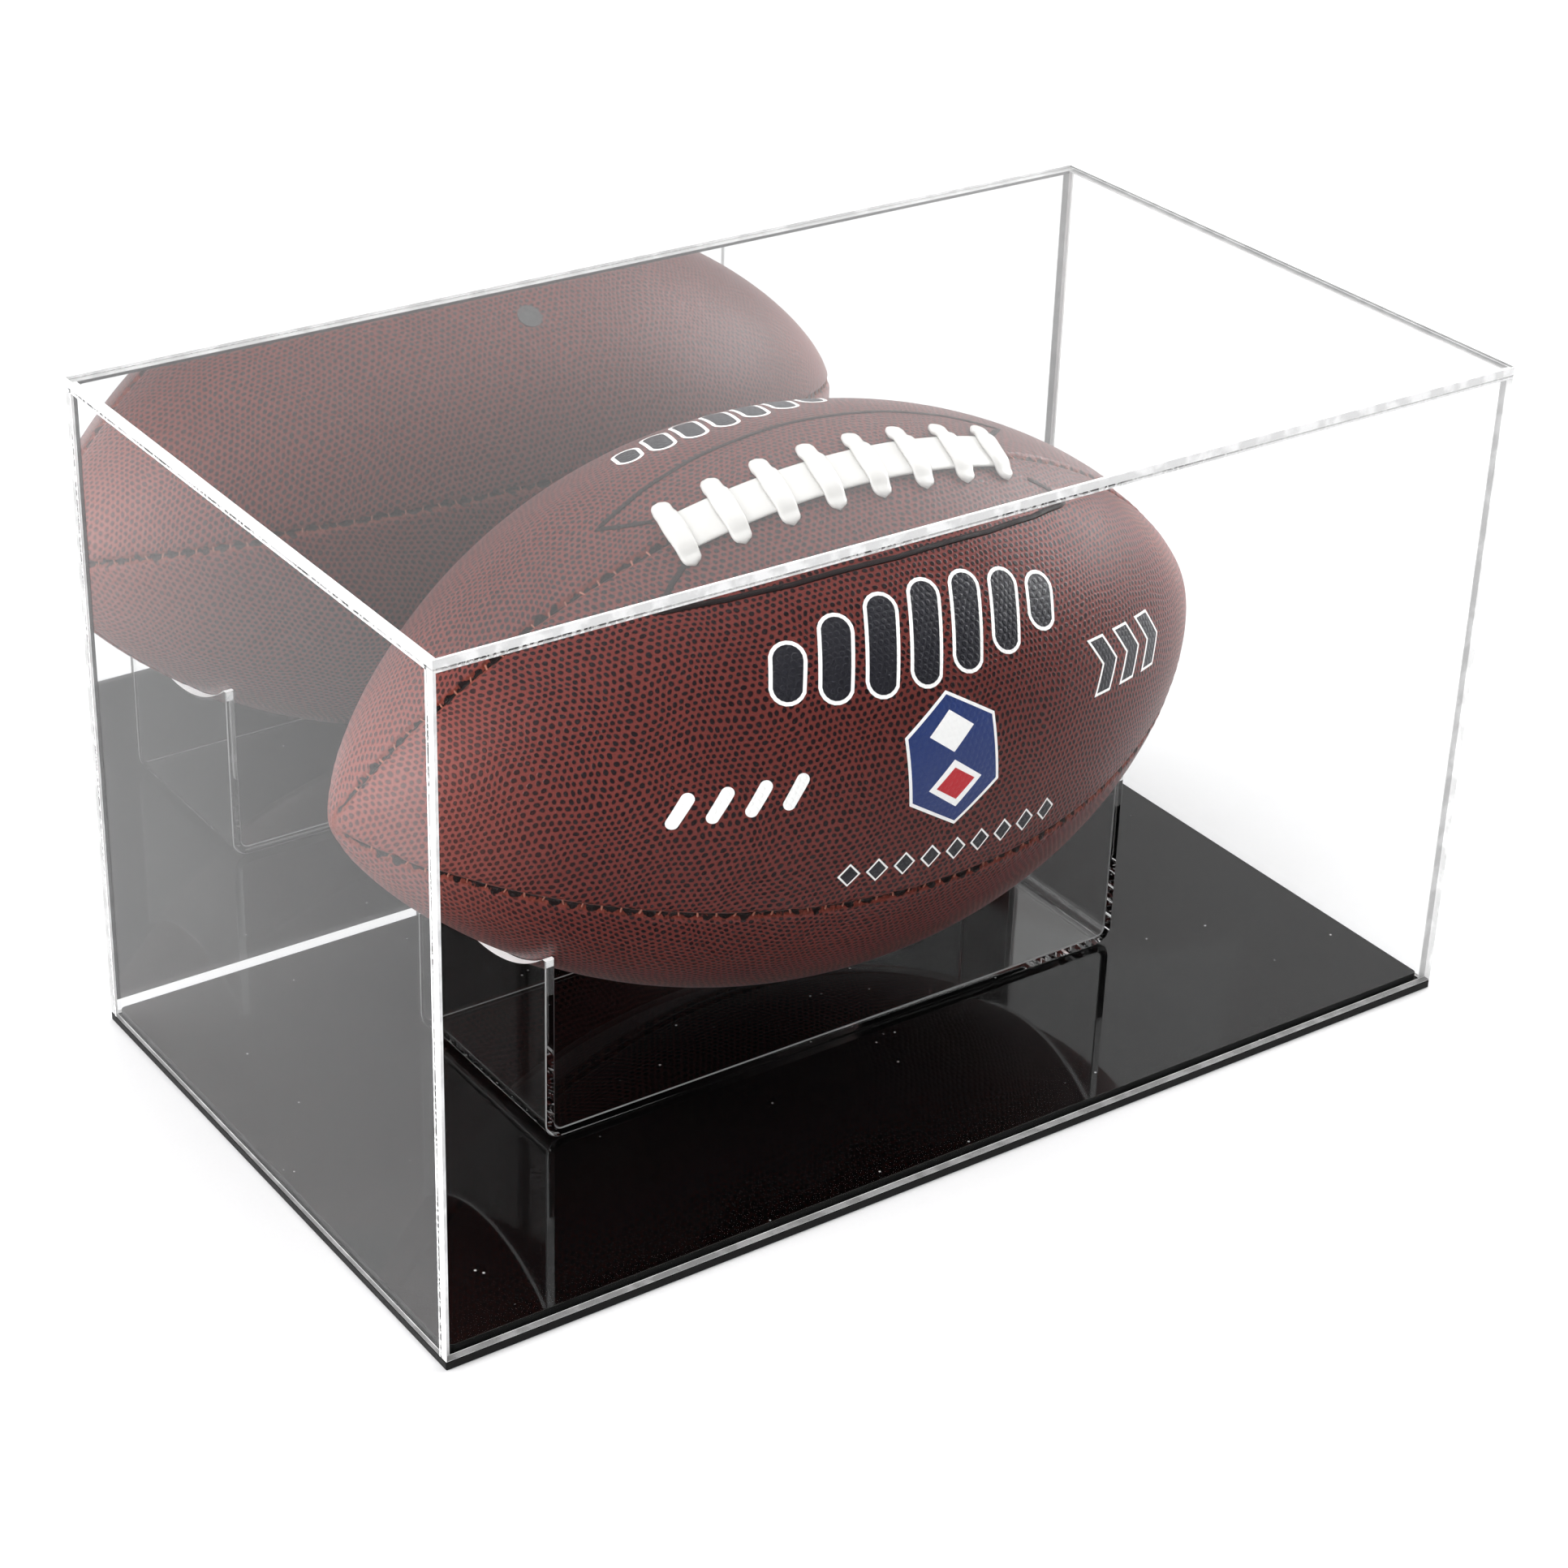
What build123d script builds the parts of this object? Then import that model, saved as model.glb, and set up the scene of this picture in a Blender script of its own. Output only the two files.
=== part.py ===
from build123d import *
import math
import os

# Football display case: a clear acrylic cover with a mirrored back, a two-layer black base,
# a bent acrylic ball stand, and a laced football resting in the stand.
#
# Millimetres. X runs along the case, -Y is the front, +Z is up. The origin is the middle of
# the underside of the base.

# ---- driving dimensions -------------------------------------------------------------------
CASE_LENGTH = 350.0
CASE_DEPTH = 199.0
CASE_HEIGHT = 206.0
SHEET = 2.5  # thickness of every cover panel and base plate
REST_GAP = 0.1  # air left under a piece that only rests on another
COVER_CLEARANCE = 0.5  # sideways play of the cover round the raised plate
PLATE_CORNER = 1.5  # rounding of the raised plate's corners, seen from above

STAND_LENGTH = 206.0
STAND_WIDTH = 70.0
STAND_SHEET = 3.0
STAND_INNER_BEND = 2.5
HORN_FLAT = 1.5  # flat left at each tip of a saddle
DISPLAY_Y = 4.0  # the stand and ball sit this far behind the middle of the case

BALL_LENGTH = 295.2
BALL_DIAMETER = 163.2
BALL_AXIS_HEIGHT = 104.6
SADDLE_CLEARANCE = 0.3
BALL_ROLL = 18.0  # degrees that the laces lean towards the front
POINT_POWER = 2.02  # these two powers shape the ball's taper from middle to tip
POINT_SHARPNESS = 0.75

LEATHER = 2.0
LINING = 0.8
BLADDER = 0.8
LAYER_GAP = 0.05
SEAM_GAP = 0.2  # degrees left between neighbouring ball panels
PROFILE_STEPS = 22  # spans in each spline that follows the ball's outline
LONG_STRIP_STEPS = 16
SHORT_STRIP_STEPS = 6

LACE_COUNT = 8
LACE_PITCH = 15.2
LACE_WIDTH = 6.0
LACE_THICKNESS = 2.0
LACE_REACH = 20.0  # degrees that one cross lace spans
LACE_BAND_REACH = 9.0  # degrees that the band down the middle spans
LACE_BRIDGE_PLAY = 1.0  # degrees that a cross lace clears the band by
LACE_LIFT = 0.05
TONGUE_REACH = 16.0
TONGUE_OVERRUN = 14.0
TONGUE_THICKNESS = 1.2

VALVE_ANGLE = -35.0  # degrees round the ball from its top, towards the front
VALVE_RADIUS = 4.0
VALVE_FLANGE_RADIUS = 8.0
VALVE_FLANGE = 1.0
VALVE_PROUD = 0.2
VALVE_HOLE_CLEARANCE = 0.1

# ---- derived sizes ------------------------------------------------------------------------
base_top = 2 * SHEET
cover_bottom = SHEET + REST_GAP
wall_top = CASE_HEIGHT - SHEET
wall_height = wall_top - cover_bottom
side_depth = CASE_DEPTH - 2 * SHEET

stand_bottom = base_top + REST_GAP
upright_inner = STAND_LENGTH / 2 - STAND_SHEET

ball_radius = BALL_DIAMETER / 2
ball_half = BALL_LENGTH / 2
# how far inward of the leather's outside each inner layer begins
lining_depth = LEATHER + LAYER_GAP
tongue_depth = lining_depth + LINING + LAYER_GAP
bladder_depth = tongue_depth + TONGUE_THICKNESS + LAYER_GAP

os.makedirs("parts", exist_ok=True)


def block(length, depth, height, x, y, bottom):
    """A plain rectangular solid, centred at x and y, standing on the height bottom."""
    return Pos(x, y, bottom) * Box(length, depth, height, align=(Align.CENTER, Align.CENTER, Align.MIN))


# ---- base ---------------------------------------------------------------------------------
def base_plates():
    """A lower plate as large as the cover, and a raised plate that fits inside the cover."""
    inset = 2 * (SHEET + COVER_CLEARANCE)
    lower = block(CASE_LENGTH, CASE_DEPTH, SHEET, 0, 0, 0)
    upper = block(CASE_LENGTH - inset, CASE_DEPTH - inset, SHEET, 0, 0, SHEET)
    upper = fillet(upper.edges().filter_by(Axis.Z), PLATE_CORNER)
    return {"base_lower_plate": lower, "base_upper_plate": upper}


# ---- cover --------------------------------------------------------------------------------
def cover_panels():
    """Front and back run the full length, the sides fit between them, and the top lies on all four."""
    front_y = (CASE_DEPTH - SHEET) / 2
    side_x = (CASE_LENGTH - SHEET) / 2
    return {
        "cover_front_panel": block(CASE_LENGTH, SHEET, wall_height, 0, -front_y, cover_bottom),
        "cover_mirror_back_panel": block(CASE_LENGTH, SHEET, wall_height, 0, front_y, cover_bottom),
        "cover_left_panel": block(SHEET, side_depth, wall_height, -side_x, 0, cover_bottom),
        "cover_right_panel": block(SHEET, side_depth, wall_height, side_x, 0, cover_bottom),
        "cover_top_panel": block(CASE_LENGTH, CASE_DEPTH, SHEET, 0, 0, wall_top),
    }


# ---- football outline ---------------------------------------------------------------------
def ball_profile_radius(x, depth=0.0):
    """The ball's radius at x, for the surface that lies at a depth inward of the leather's outside."""
    along = min(abs(x) / (ball_half - depth), 1.0)
    return (ball_radius - depth) * (1 - along**POINT_POWER) ** POINT_SHARPNESS


def outline(depth, stations):
    """Points on the outline of the surface at one depth. A negative depth lies above the leather."""
    return [(x, ball_profile_radius(x, depth)) for x in stations]


def skin_piece(outer_line, inner_line, start, reach):
    """The area between two outlines, swept round the ball from start degrees, through reach degrees.

    Degrees are measured from the top of the ball towards the front.
    """
    with BuildSketch(Plane.XY) as section:
        with BuildLine():
            Spline(*outer_line)
            Line(outer_line[-1], inner_line[-1])
            Spline(*reversed(inner_line))
            Line(inner_line[0], outer_line[0])
        make_face()
    swept = revolve(section.sketch, Axis.X, reach)
    return Pos(0, DISPLAY_Y, BALL_AXIS_HEIGHT) * Rot(90 + start, 0, 0) * swept


def ball_sector(outer, inner, start, reach):
    """A tip-to-tip slice of the ball's skin, with stations closer together near the tips."""
    cosines = [-math.cos(math.pi * i / PROFILE_STEPS) for i in range(PROFILE_STEPS + 1)]
    outer_line = outline(outer, [(ball_half - outer) * c for c in cosines])
    inner_line = outline(inner, [(ball_half - inner) * c for c in cosines])
    return skin_piece(outer_line, inner_line, start, reach)


def ball_strip(x_from, x_to, outer, inner, start, reach, steps):
    """A strip that follows the ball from x_from to x_to."""
    stations = [x_from + (x_to - x_from) * i / steps for i in range(steps + 1)]
    return skin_piece(outline(outer, stations), outline(inner, stations), start, reach)


# ---- ball stand ---------------------------------------------------------------------------
def ball_stand():
    """One strip bent into a U, with a round saddle cut into the top of each upright."""
    saddle_radius = ball_profile_radius(upright_inner) + SADDLE_CLEARANCE
    saddle_half_width = STAND_WIDTH / 2 - HORN_FLAT
    stand_top = BALL_AXIS_HEIGHT - math.sqrt(saddle_radius**2 - saddle_half_width**2)
    height = stand_top - stand_bottom
    outer_bend = STAND_INNER_BEND + STAND_SHEET

    outside = Box(STAND_LENGTH, STAND_WIDTH, height, align=(Align.CENTER, Align.CENTER, Align.MIN))
    outside = fillet(outside.edges().filter_by(Axis.Y).group_by(Axis.Z)[0], outer_bend)
    inside = Pos(0, 0, STAND_SHEET) * Box(
        2 * upright_inner, STAND_WIDTH, height, align=(Align.CENTER, Align.CENTER, Align.MIN)
    )
    inside = fillet(inside.edges().filter_by(Axis.Y).group_by(Axis.Z)[0], STAND_INNER_BEND)
    saddle = Pos(0, 0, BALL_AXIS_HEIGHT - stand_bottom) * Rot(0, 90, 0) * Cylinder(saddle_radius, CASE_LENGTH)
    return Pos(0, DISPLAY_Y, stand_bottom) * (outside - inside - saddle)


# ---- football -----------------------------------------------------------------------------
def football_skin():
    """Four leather panels, each backed by its own lining, meeting at seams a quarter turn apart."""
    names = ["front", "under", "rear", "top"]
    layers = {"leather": (0.0, LEATHER), "lining": (lining_depth, lining_depth + LINING)}
    nodes = {}
    for index, name in enumerate(names):
        start = BALL_ROLL + 90 * index + SEAM_GAP / 2
        for layer, (outer, inner) in layers.items():
            nodes[f"football_{layer}_{name}"] = ball_sector(outer, inner, start, 90 - SEAM_GAP)
    return nodes


def football_bladder():
    """The closed, air-filled rubber bag, small enough to leave room for the tongue behind the laces."""
    half_turns = [ball_sector(bladder_depth, bladder_depth + BLADDER, start, 180) for start in (0, 180)]
    return half_turns[0] + half_turns[1]


def valve_place():
    """A frame at the ball's axis whose Z points out through the valve."""
    return Pos(0, DISPLAY_Y, BALL_AXIS_HEIGHT) * Rot(VALVE_ANGLE, 0, 0)


def football_valve():
    """The rubber plug: a stem through the skin with a flange inside the bladder."""
    bladder_inside = ball_radius - bladder_depth - BLADDER
    flange_top = math.sqrt(bladder_inside**2 - VALVE_FLANGE_RADIUS**2) - LAYER_GAP
    stem_bottom = flange_top - VALVE_FLANGE
    stem_length = ball_radius + VALVE_PROUD - stem_bottom
    from_bottom = (Align.CENTER, Align.CENTER, Align.MIN)
    stem = Cylinder(VALVE_RADIUS, stem_length, align=from_bottom)
    flange = Cylinder(VALVE_FLANGE_RADIUS, VALVE_FLANGE, align=from_bottom)
    return valve_place() * Pos(0, 0, stem_bottom) * (stem + flange)


def valve_hole():
    """The hole that the valve's stem passes through."""
    radius = VALVE_RADIUS + VALVE_HOLE_CLEARANCE
    return valve_place() * Pos(0, 0, ball_radius) * Cylinder(radius, ball_radius / 2)


def lace_stations():
    """The middle of each cross lace along the ball, from the left."""
    first = -LACE_PITCH * (LACE_COUNT - 1) / 2
    return [first + LACE_PITCH * i for i in range(LACE_COUNT)]


def football_laces():
    """A band along the seam, and cross laces that step over it."""
    stations = lace_stations()
    band_under = -LACE_LIFT
    band_over = band_under - LACE_THICKNESS
    cross_under = band_over - LACE_LIFT
    cross_over = cross_under - LACE_THICKNESS
    band_end = stations[-1] + LACE_WIDTH / 2
    band_start = BALL_ROLL - LACE_BAND_REACH / 2
    nodes = {
        "lace_band": ball_strip(
            -band_end, band_end, band_over, band_under, band_start, LACE_BAND_REACH, LONG_STRIP_STEPS
        )
    }

    bridge_reach = LACE_BAND_REACH + LACE_BRIDGE_PLAY
    foot_reach = (LACE_REACH - bridge_reach) / 2
    bridge_start = BALL_ROLL - bridge_reach / 2
    spans = [
        (cross_under, bridge_start, bridge_reach),
        (band_under, bridge_start + bridge_reach, foot_reach),
        (band_under, bridge_start - foot_reach, foot_reach),
    ]
    for number, x in enumerate(stations, start=1):
        left, right = x - LACE_WIDTH / 2, x + LACE_WIDTH / 2
        bridge, near_foot, far_foot = [
            ball_strip(left, right, cross_over, under, start, reach, SHORT_STRIP_STEPS)
            for under, start, reach in spans
        ]
        nodes[f"lace_cross_{number}"] = bridge + near_foot + far_foot
    return nodes


def football_tongue():
    """The strip behind the laced seam, between the linings and the bladder."""
    end = lace_stations()[-1] + TONGUE_OVERRUN
    start = BALL_ROLL - TONGUE_REACH / 2
    inner = tongue_depth + TONGUE_THICKNESS
    return ball_strip(-end, end, tongue_depth, inner, start, TONGUE_REACH, LONG_STRIP_STEPS)


# ---- all nodes ----------------------------------------------------------------------------
nodes = base_plates() | cover_panels() | {"ball_stand": ball_stand()}
nodes |= football_skin()
nodes["football_bladder"] = football_bladder()
for pierced in ("football_leather_top", "football_lining_top", "football_bladder"):
    nodes[pierced] = nodes[pierced] - valve_hole()
nodes["football_valve"] = football_valve()
nodes["football_tongue"] = football_tongue()
nodes |= football_laces()

for name, solid in nodes.items():
    export_step(solid, f"parts/{name}.step")
    print(f"{name:28s} {solid.volume / 1000:9.2f} cm3")
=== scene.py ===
"""The looks of the football display case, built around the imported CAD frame. Metres.

X runs along the case, -Y is the front, +Z is up. Angles round the ball are measured from its
top towards the front.
"""

import bisect
import math
import random

import bmesh
import bpy
from mathutils import Matrix, Vector


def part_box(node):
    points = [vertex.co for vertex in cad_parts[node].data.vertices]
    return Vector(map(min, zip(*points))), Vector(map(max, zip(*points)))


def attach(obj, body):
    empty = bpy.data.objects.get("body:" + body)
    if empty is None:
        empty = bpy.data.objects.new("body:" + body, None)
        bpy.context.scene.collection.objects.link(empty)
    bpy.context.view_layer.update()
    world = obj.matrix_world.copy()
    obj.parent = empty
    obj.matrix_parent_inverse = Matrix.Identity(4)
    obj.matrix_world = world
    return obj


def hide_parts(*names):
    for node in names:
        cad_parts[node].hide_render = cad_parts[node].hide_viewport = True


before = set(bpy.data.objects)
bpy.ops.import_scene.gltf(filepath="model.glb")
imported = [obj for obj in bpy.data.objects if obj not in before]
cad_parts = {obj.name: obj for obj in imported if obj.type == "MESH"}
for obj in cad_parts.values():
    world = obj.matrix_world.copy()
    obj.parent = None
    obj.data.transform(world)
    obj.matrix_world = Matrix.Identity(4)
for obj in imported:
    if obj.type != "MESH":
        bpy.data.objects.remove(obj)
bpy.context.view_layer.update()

MM = 0.001

# ---- places that the frame gives -----------------------------------------------------------
LEATHER_NODES = [f"football_leather_{side}" for side in ("front", "under", "rear", "top")]
LACE_NODES = [f"lace_cross_{number}" for number in range(1, 9)]


def box_round(nodes):
    """The lowest and highest corner of several CAD nodes together."""
    boxes = [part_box(node) for node in nodes]
    low = Vector([min(box[0][axis] for box in boxes) for axis in range(3)])
    high = Vector([max(box[1][axis] for box in boxes) for axis in range(3)])
    return low, high


ball_low, ball_high = box_round(LEATHER_NODES)
ball_centre = (ball_low + ball_high) / 2
ball_radius = (ball_high.z - ball_low.z) / 2
ball_half = (ball_high.x - ball_low.x) / 2

# ---- sizes that the looks add --------------------------------------------------------------
GLUE_GAP = 0.03 * MM  # air left where two glued sheets meet, so that their faces don't coincide
SHEET_BEVEL = 0.2 * MM
STAND_BEVEL = 0.3 * MM
SILVER_FILM = 0.12 * MM
SILVER_FOOT = 1.7 * MM  # the silver stops this far above the raised plate
SILVER_TOP_MARGIN = 1.7 * MM  # it also stops short of the panel's top and left end
SILVER_LEFT_MARGIN = 4.3 * MM
CEMENT_WIDTH = 0.35 * MM
CEMENT_DEPTH = 0.15 * MM
ACRYLIC_IOR = 1.49
# acrylic has 1.49: the left and front sheets are set lower than real, so that they reflect less
SHEET_IORS = {"left": 1.24, "right": ACRYLIC_IOR, "top": ACRYLIC_IOR, "front": 1.03}

STAND_SHEET = 3.0 * MM
STAND_INNER_BEND = 2.5 * MM
HORN_FLAT = 1.5 * MM  # flat left at each tip of a saddle
STAND_COLUMNS = 40
BEND_STEPS = 8
PAINTED_RIM_GLOW = 0.45  # painted glow: emission on the polished rim, standing in for light that the sheet carries there

BALL_ROLL = 18.0  # degrees from the top of the ball to the laced seam
POINT_POWER = 2.02  # these two powers shape the ball's taper from middle to tip
POINT_SHARPNESS = 0.75
MERIDIAN_STEPS = 4000
LEATHER = 1.98 * MM

STITCH_PITCH = 5.3 * MM
STITCH_RADIUS = 0.3 * MM
STITCH_REACH = 1.3 * MM
GROOVE_DEPTH = 1.2 * MM
GROOVE_REACH = 1.0 * MM
PUCKER_DEPTH = 0.13 * MM
PUCKER_REACH = 2.6 * MM
GAPE_AT_STITCH = 0.4 * MM  # reach of the opening at a stitch, painted dark as shade, and what is added between two
GAPE_BETWEEN = 1.1 * MM
# painted highlight: how far from a seam the hide is painted redder, standing in for the rolled edges catching
# the light
SEAM_HIGHLIGHT_REACH = 1.7 * MM
RIDGE_HEIGHT = 0.16 * MM
RIDGE_PLACE = 2.7 * MM
RIDGE_REACH = 1.0 * MM
TIP_CALM = 14 * MM  # within this radius of the axis the seams fade into the tip
PANEL_ROWS = 520
SEAM_COLUMNS = [0.0, 0.2, 0.45, 0.7, 1.0, 1.35, 1.75, 2.25, 2.8, 3.5, 4.5, 6.5, 10.0, 16.0]  # mm from a seam
OPEN_COLUMNS = 24

PEBBLE_PITCH = 2.1 * MM
PEBBLE_DRIFT = 8.5 * MM
# Besides the hide's own tones and its pebbles, these hold two pale tones for a painted sheen towards the
# tips, a redder tone for a painted highlight along the seams, and a near-black for painted shade in the
# openings between stitches.
HIDE_COLOURS = {
    "dark": (0.092, 0.02, 0.0175),
    "light": (0.145, 0.031, 0.025),
    "crease": (0.08, 0.016, 0.013),
    "painted_sheen": (0.24, 0.072, 0.06),
    "pebble": (0.008, 0.004, 0.005),
    "painted_sheen_pebble": (0.06, 0.022, 0.02),
    "painted_seam_highlight": (0.15, 0.028, 0.016),
    "hole": (0.006, 0.003, 0.003),
}
SHEEN_PAINT_START = 0.1  # painted sheen: the hide grows paler from here to here, in metres along it from the middle, standing in for the pale sheen towards the tips
SHEEN_PAINT_END = 0.165

LACE_THICKNESS = 1.95 * MM
LACE_STEPS = 26
LACE_SLANT = 2.4 * MM
LACE_FRONT = 8.6  # degrees from the seam to a cross lace's front tip
LACE_REAR = 10.2
LACE_RISE = 1.75 * MM  # how far a cross lace rises to pass over the band
LACE_RISE_AT = 5.2  # degrees from the seam where it has half risen, and over which it does
LACE_RISE_OVER = 0.55
LACE_END_TWIST = 3.0 * MM
LACE_TWIST = 0.8 * MM
BAND_WIDTH = 13.6 * MM
BAND_STEPS = 60

PRINT_LIFT = 0.04 * MM
PRINT_THICKNESS = 0.03 * MM
PRINT_GRID = 3 * MM
PRINT_BORDER = 1.1 * MM
FINE_BORDER = 0.7 * PRINT_BORDER

# the leaf-shaped line round the laces: millimetres along the ball, degrees from the seam
LEAF_CORNERS = [(-56, 7), (-62, 10), (-68, 14), (-51, 17.4), (-33, 19.4), (0, 20.5)]
LEAF_CORNERS += [(33, 19.5), (53, 17.4), (70, 14), (64, 10), (58, 7)]
LEAF_WIDTH = 1.7 * MM
LEAF_THICKNESS = 0.3 * MM
LEAF_SINK = 0.06 * MM

CAMERA_AZIMUTH = math.radians(-35.8)
CAMERA_ELEVATION = math.radians(28.85)
CAMERA_ROLL = math.radians(1.95)
CAMERA_PLACE = Vector((-0.5304, -0.7327, 0.5742))
CAMERA_LENS = 80.66

WORLD_LIGHT = 1.0
# patches of the studio: azimuth, elevation, radius of the even middle, outer radius (degrees), and the
# share of light left there
WORLD_PATCHES = [
    (35.8, 33, 17, 52, 0.0),
    (168, 30, 15, 30, 0.56),
]
LAMPS = {  # place, power in watts, side of the square
    "overhead_lamp": ((0.0, 0.35, 1.9), 53.0, 2.8),
    "right_lamp": ((1.6, 0.05, 0.8), 27.0, 1.0),
    "left_lamp": ((-1.6, 0.0, 0.75), 20.0, 1.0),
}
FLOOR_SIZE = 30.0
FAR_FLOOR = (1.1, 3.2)  # metres over which the floor grows as pale as the studio's walls


# ---- stage ---------------------------------------------------------------------------------
def direction(azimuth, elevation):
    """The way from the object towards a viewer at that azimuth and elevation."""
    flat = math.cos(elevation)
    return Vector((math.sin(azimuth) * flat, -math.cos(azimuth) * flat, math.sin(elevation)))


def add_object(name, data):
    """Makes an object that shows data and puts it in the scene."""
    made = bpy.data.objects.new(name, data)
    bpy.context.scene.collection.objects.link(made)
    return made


def make_camera():
    """The camera at the picture's viewing angle, with its slight roll."""
    data = bpy.data.cameras.new("camera")
    data.lens = CAMERA_LENS
    data.clip_start = 0.05
    camera = add_object("camera", data)
    back = direction(CAMERA_AZIMUTH, CAMERA_ELEVATION)
    right = Vector((0, 0, 1)).cross(back).normalized()
    up = back.cross(right)
    turn = Matrix.Rotation(CAMERA_ROLL, 3, back)
    axes = Matrix((turn @ right, turn @ up, back)).transposed()
    camera.matrix_world = Matrix.Translation(CAMERA_PLACE) @ axes.to_4x4()
    bpy.context.scene.camera = camera


def feed(tree, socket, value):
    """Links value to a socket if it comes from a node, or sets it there."""
    if isinstance(value, bpy.types.NodeSocket):
        tree.links.new(value, socket)
    else:
        socket.default_value = value


def add_node(tree, kind, inputs, output=0, **settings):
    """Adds a shader node, sets it up, and returns one of its outputs."""
    made = tree.nodes.new("ShaderNode" + kind)
    for name, value in settings.items():
        setattr(made, name, value)
    for name, value in inputs.items():
        feed(tree, made.inputs[name], value)
    return made.outputs[output]


def make_world():
    """A white studio. It is dark where the viewer's side shows in the mirror, and dimmer high behind."""
    world = bpy.data.worlds.new("studio")
    bpy.context.scene.world = world
    world.use_nodes = True
    tree = world.node_tree
    place = add_node(tree, "TexCoord", {}, "Generated")
    strength = WORLD_LIGHT
    for azimuth, elevation, inner, outer, dimmed in WORLD_PATCHES:
        middle = direction(math.radians(azimuth), math.radians(elevation))
        towards = add_node(tree, "VectorMath", {0: place, 1: middle}, "Value", operation="DOT_PRODUCT")
        edges = {"From Min": math.cos(math.radians(outer)), "From Max": math.cos(math.radians(inner))}
        ranges = {"Value": towards, "To Min": 1.0, "To Max": dimmed, **edges}
        fade = add_node(tree, "MapRange", ranges, "Result", interpolation_type="SMOOTHSTEP")
        strength = add_node(tree, "Math", {0: strength, 1: fade}, operation="MULTIPLY")
    background = tree.nodes["Background"]
    feed(tree, background.inputs["Color"], (1.0, 1.0, 1.0, 1.0))
    feed(tree, background.inputs["Strength"], strength)


def make_light(name, place, power, size):
    """A soft square lamp that faces the middle of the case."""
    data = bpy.data.lights.new(name, "AREA")
    data.energy = power
    data.size = size
    lamp = add_object(name, data)
    lamp.location = place
    lamp.rotation_mode = "QUATERNION"
    lamp.rotation_quaternion = (Vector(place) - ball_centre).to_track_quat("Z", "Y")


# ---- materials -----------------------------------------------------------------------------
class Finish:
    """A material with one main shader, and short ways to add the nodes that feed it."""

    def __init__(self, name):
        self.material = bpy.data.materials.new(name)
        self.material.use_nodes = True
        self.tree = self.material.node_tree
        self.shader = self.tree.nodes["Principled BSDF"]
        self.output = self.tree.nodes["Material Output"]
        ways = self.tree.nodes.new("ShaderNodeTexCoord").outputs
        self.place = ways["Object"]  # the point's place in metres
        self.flat = ways["UV"]  # its place on the flat hide before sewing, in metres

    def set(self, name, value):
        """Sets or feeds one socket of the main shader."""
        feed(self.tree, self.shader.inputs[name], value)

    def node(self, kind, inputs, output=0, **settings):
        return add_node(self.tree, kind, inputs, output, **settings)

    def noise(self, scale, detail, place=None, output="Fac"):
        """Soft noise with that many blobs to a metre."""
        inputs = {"Vector": self.place if place is None else place, "Scale": scale, "Detail": detail}
        return self.node("TexNoise", inputs, output)

    def maths(self, operation, first, second=0.0):
        """One arithmetic step on two numbers."""
        return self.node("Math", {0: first, 1: second}, operation=operation)

    def spread(self, value, low, high, to_low=0.0, to_high=1.0):
        """Maps low to high smoothly onto another range."""
        inputs = {"Value": value, "From Min": low, "From Max": high, "To Min": to_low, "To Max": to_high}
        return self.node("MapRange", inputs, interpolation_type="SMOOTHSTEP")

    def mix_colour(self, share, first, second):
        """A colour between two others."""
        return self.node("Mix", {0: share, 6: first, 7: second}, 2, data_type="RGBA")

    def paint(self, share, first, second):
        """Colours the surface between two colours."""
        self.set("Base Color", self.mix_colour(share, first, second))

    def roughen(self, value, smoothest, roughest, low=0.3, high=0.7):
        """Spreads the roughness between two values."""
        self.set("Roughness", self.spread(value, low, high, smoothest, roughest))

    def bump(self, height, distance, strength=1.0, under=None):
        """Tilts the surface as if height stood proud of it by that distance."""
        inputs = {"Height": height, "Distance": distance, "Strength": strength}
        if under is not None:
            inputs["Normal"] = under
        normal = self.node("Bump", inputs)
        self.set("Normal", normal)
        return normal


def colour(red, green, blue):
    return (red, green, blue, 1.0)


def grey(shade):
    return (shade, shade, shade, 1.0)


def acrylic(name, ior):
    """Clear acrylic sheet. Light for shadows and soft bounces goes straight through it."""
    finish = Finish(name)
    wipe = finish.noise(22.0, 4)
    finish.set("Base Color", colour(0.993, 0.995, 0.995))
    finish.set("Transmission Weight", 1.0)
    finish.set("IOR", ior)
    finish.roughen(wipe, 0.0, 0.012, 0.45, 0.8)
    finish.bump(finish.noise(14.0, 2), 0.02 * MM, 0.25)
    rays = finish.tree.nodes.new("ShaderNodeLightPath")
    straight = finish.maths("MAXIMUM", rays.outputs["Is Shadow Ray"], rays.outputs["Is Diffuse Ray"])
    clear = finish.node("BsdfTransparent", {})
    mixed = finish.node("MixShader", {0: straight, 1: finish.shader.outputs[0], 2: clear})
    finish.tree.links.new(mixed, finish.output.inputs["Surface"])
    return finish.material


def painted_light_rim(name, dark, light):
    """The fine-sawn rim of an acrylic sheet, made opaque, with the light it gathers painted in: a streaky
    grey between dark and light, pale as a painted glow and dark as painted shade.
    """
    finish = Finish(name)
    marks = finish.noise(1800.0, 5)
    streaks = finish.spread(finish.noise(150.0, 4), 0.42, 0.6)
    finish.paint(streaks, grey(dark), grey(light))
    finish.roughen(marks, 0.25, 0.5)
    finish.bump(marks, 0.05 * MM, 0.4)
    return finish.material


def silvering():
    """The silver layer seen through the mirror sheet."""
    finish = Finish("mirror_silver")
    haze = finish.noise(30.0, 3)
    finish.paint(haze, colour(0.94, 0.945, 0.95), colour(0.96, 0.965, 0.965))
    finish.set("Metallic", 1.0)
    finish.roughen(haze, 0.0, 0.02, 0.4, 0.8)
    return finish.material


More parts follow.
